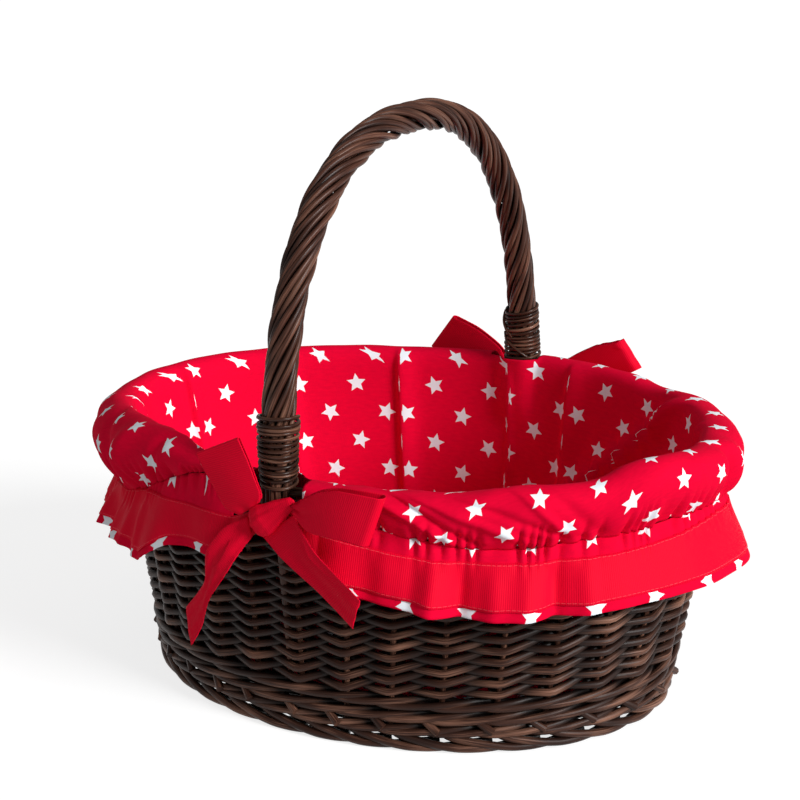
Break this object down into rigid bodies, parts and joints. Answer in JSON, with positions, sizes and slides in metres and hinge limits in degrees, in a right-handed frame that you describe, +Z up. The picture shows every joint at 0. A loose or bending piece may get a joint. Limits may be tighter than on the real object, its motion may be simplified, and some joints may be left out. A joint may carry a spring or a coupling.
{
  "type": "wicker gift basket",
  "caption": "Oval stained-willow basket with a fixed twisted arch handle, a star-print cloth liner with a gathered frill, and ribbon bows at the handle feet.",
  "frame": {"origin": "on the ground under the middle of the basket", "axes": "+X along the basket's length, +Y across it towards the rear handle foot, +Z up"},
  "size_m": [0.4744, 0.374, 0.3901],
  "materials": {
    "willow_weave": "stained and oiled willow, satin",
    "willow_rod": "stained and oiled willow, satin",
    "willow_binding": "stained thin willow, satin",
    "star_cloth": "plain-woven cotton printed with white stars, matt",
    "grosgrain_ribbon": "ribbed grosgrain ribbon, soft sheen",
    "elastic": "covered elastic, matt"
  },
  "bodies": {
    "root": {"base_stick_cross_1": "willow_rod", "base_stick_cross_2": "willow_rod", "base_stick_cross_3": "willow_rod", "base_stick_cross_4": "willow_rod", "base_stick_cross_5": "willow_rod", "base_stick_long_1": "willow_rod", "base_stick_long_2": "willow_rod", "base_stick_long_3": "willow_rod", "base_weave": "willow_weave", "stake_01": "willow_rod", "stake_02": "willow_rod", "stake_03": "willow_rod", "stake_04": "willow_rod", "stake_05": "willow_rod", "stake_06": "willow_rod", "stake_07": "willow_rod", "stake_08": "willow_rod", "stake_09": "willow_rod", "stake_10": "willow_rod", "stake_11": "willow_rod", "stake_12": "willow_rod", "stake_13": "willow_rod", "stake_14": "willow_rod", "stake_15": "willow_rod", "stake_16": "willow_rod", "stake_17": "willow_rod", "stake_18": "willow_rod", "stake_19": "willow_rod", "stake_20": "willow_rod", "stake_21": "willow_rod", "stake_22": "willow_rod", "stake_23": "willow_rod", "stake_24": "willow_rod", "stake_25": "willow_rod", "stake_26": "willow_rod", "stake_27": "willow_rod", "stake_28": "willow_rod", "stake_29": "willow_rod", "stake_30": "willow_rod", "stake_31": "willow_rod", "stake_32": "willow_rod", "foot_border": "willow_weave", "bottom_wale": "willow_weave", "side_weave": "willow_weave", "top_border": "willow_weave", "handle_core": "willow_rod", "handle_rope": "willow_rod", "handle_binding_front": "willow_binding", "handle_binding_rear": "willow_binding", "liner": "star_cloth", "elastic_left": "elastic", "frill_left": "star_cloth", "ribbon_left": "grosgrain_ribbon", "elastic_right": "elastic", "frill_right": "star_cloth", "ribbon_right": "grosgrain_ribbon", "bow_front": "grosgrain_ribbon", "knot_front": "grosgrain_ribbon", "bow_rear": "grosgrain_ribbon", "knot_rear": "grosgrain_ribbon"}
  },
  "joints": []
}
